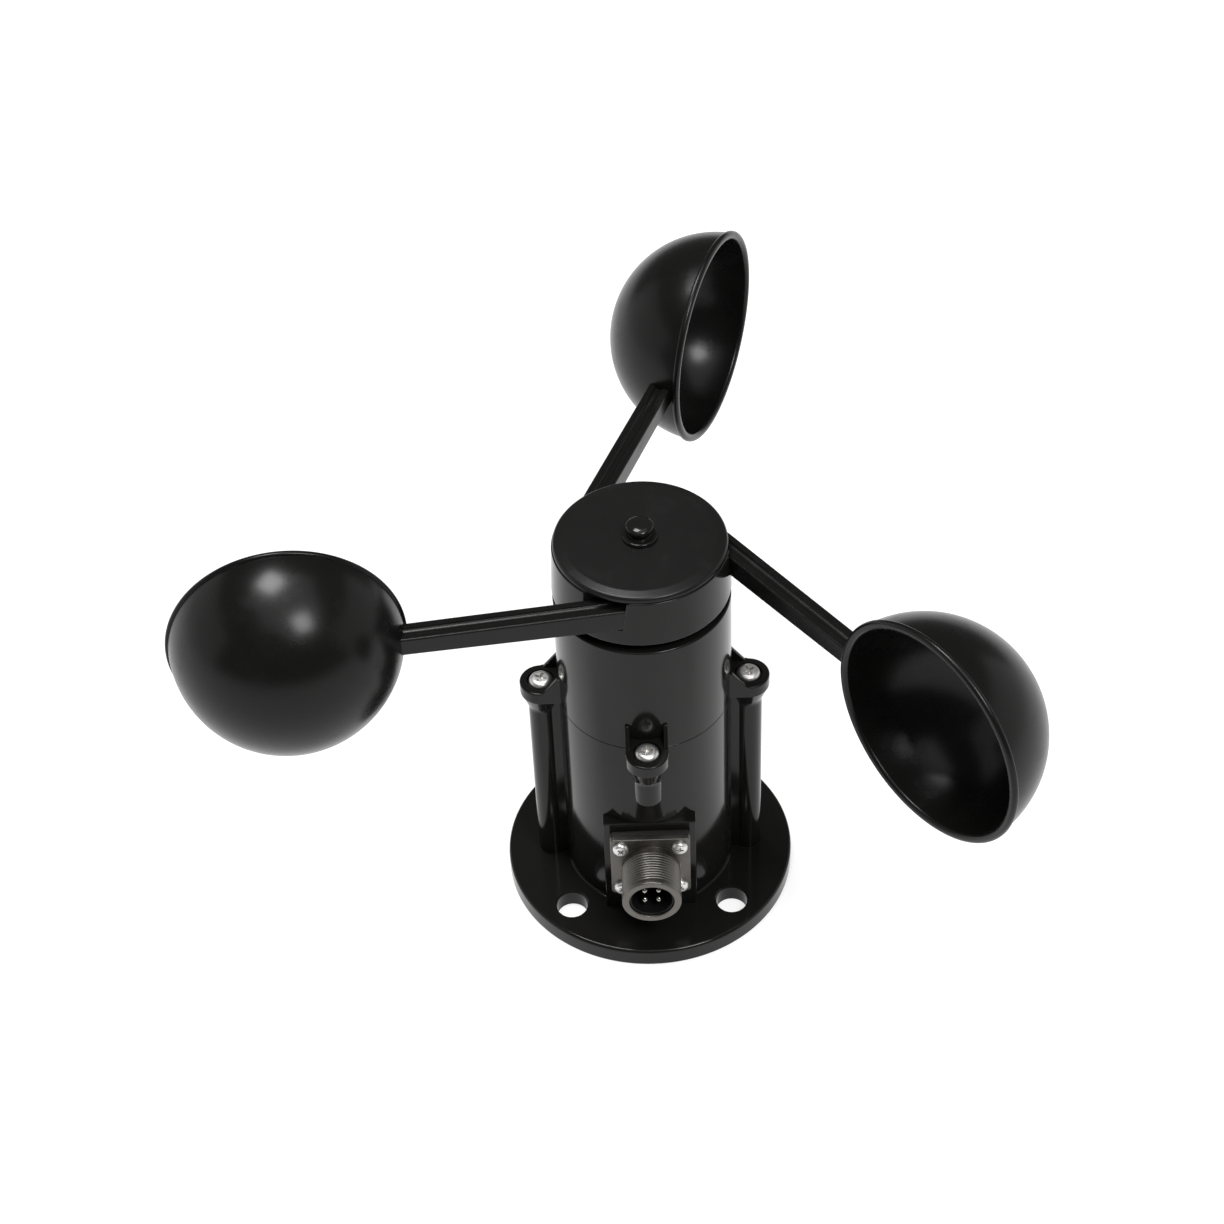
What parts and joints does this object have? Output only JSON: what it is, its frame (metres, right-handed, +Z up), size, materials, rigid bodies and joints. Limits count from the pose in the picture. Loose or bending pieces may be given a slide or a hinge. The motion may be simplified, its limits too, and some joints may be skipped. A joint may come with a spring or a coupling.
{
  "type": "cup anemometer",
  "caption": "Wind speed sensor: hemispherical cups on arms turn a capped hub and shaft above a tubular housing on a round, drilled base flange with a round multi-pin connector.",
  "frame": {"origin": "centre of the base flange's underside, on the rotor's axis", "axes": "+Z up along the rotor's axis; the cable connector faces -Y; +X is to its right, seen from the connector's side"},
  "size_m": [0.1731, 0.1676, 0.1183],
  "materials": {
    "gloss_plastic": "glossy black moulded plastic",
    "satin_plastic": "satin black moulded plastic",
    "seal_rubber": "smooth black rubber",
    "screw_steel": "bright stainless steel",
    "connector_metal": "gunmetal plating, fine turned marks",
    "insulator": "black moulded insulator",
    "contact_gold": "gold flashed contact pins",
    "board": "green solder mask",
    "component": "moulded electronic packages",
    "wire": "PVC insulated leads",
    "bearing_steel": "ground bearing steel",
    "ball_steel": "polished balls",
    "cage_brass": "pressed brass",
    "shaft_steel": "ground stainless steel",
    "magnet": "nickel-plated magnet"
  },
  "bodies": {
    "housing": {"lower_housing": "gloss_plastic", "upper_housing": "gloss_plastic", "housing_seal": "seal_rubber", "housing_screws": "screw_steel", "connector_gasket": "seal_rubber", "connector_shell": "connector_metal", "connector_insert": "insulator", "connector_pins": "contact_gold", "connector_screws": "screw_steel", "circuit_board": "board", "board_screws": "screw_steel", "board_parts": "component", "hall_sensor": "component", "wiring": "wire", "upper_bearing_outer_race": "bearing_steel", "lower_bearing_outer_race": "bearing_steel", "bearing_circlip": "bearing_steel", "shaft_seal": "seal_rubber"},
    "rotor": {"upper_bearing_inner_race": "bearing_steel", "lower_bearing_inner_race": "bearing_steel", "bearing_spacer": "shaft_steel", "rotor_shaft": "shaft_steel", "shaft_clip": "bearing_steel", "magnet_holder": "satin_plastic", "magnets": "magnet", "rotor_hub": "gloss_plastic", "hub_cap": "satin_plastic", "cap_nut": "satin_plastic", "arm_1": "gloss_plastic", "arm_2": "gloss_plastic", "arm_3": "gloss_plastic", "cup_1": "gloss_plastic", "cup_2": "gloss_plastic", "cup_3": "gloss_plastic"},
    "ball_sets": {"upper_bearing_balls": "ball_steel", "upper_bearing_cage": "cage_brass", "lower_bearing_balls": "ball_steel", "lower_bearing_cage": "cage_brass"}
  },
  "joints": [
    {"name": "rotor_spin", "type": "hinge", "parent": "housing", "child": "rotor", "pos_m": [0, 0, 0.0745], "axis": [0, 0, 1], "continuous": true},
    {"name": "ball_set_spin", "type": "hinge", "parent": "housing", "child": "ball_sets", "pos_m": [0, 0, 0.0745], "axis": [0, 0, 1], "continuous": true}
  ],
  "couplings": [
    {"joint": "ball_set_spin", "follows": "rotor_spin", "ratio": 0.36}
  ]
}
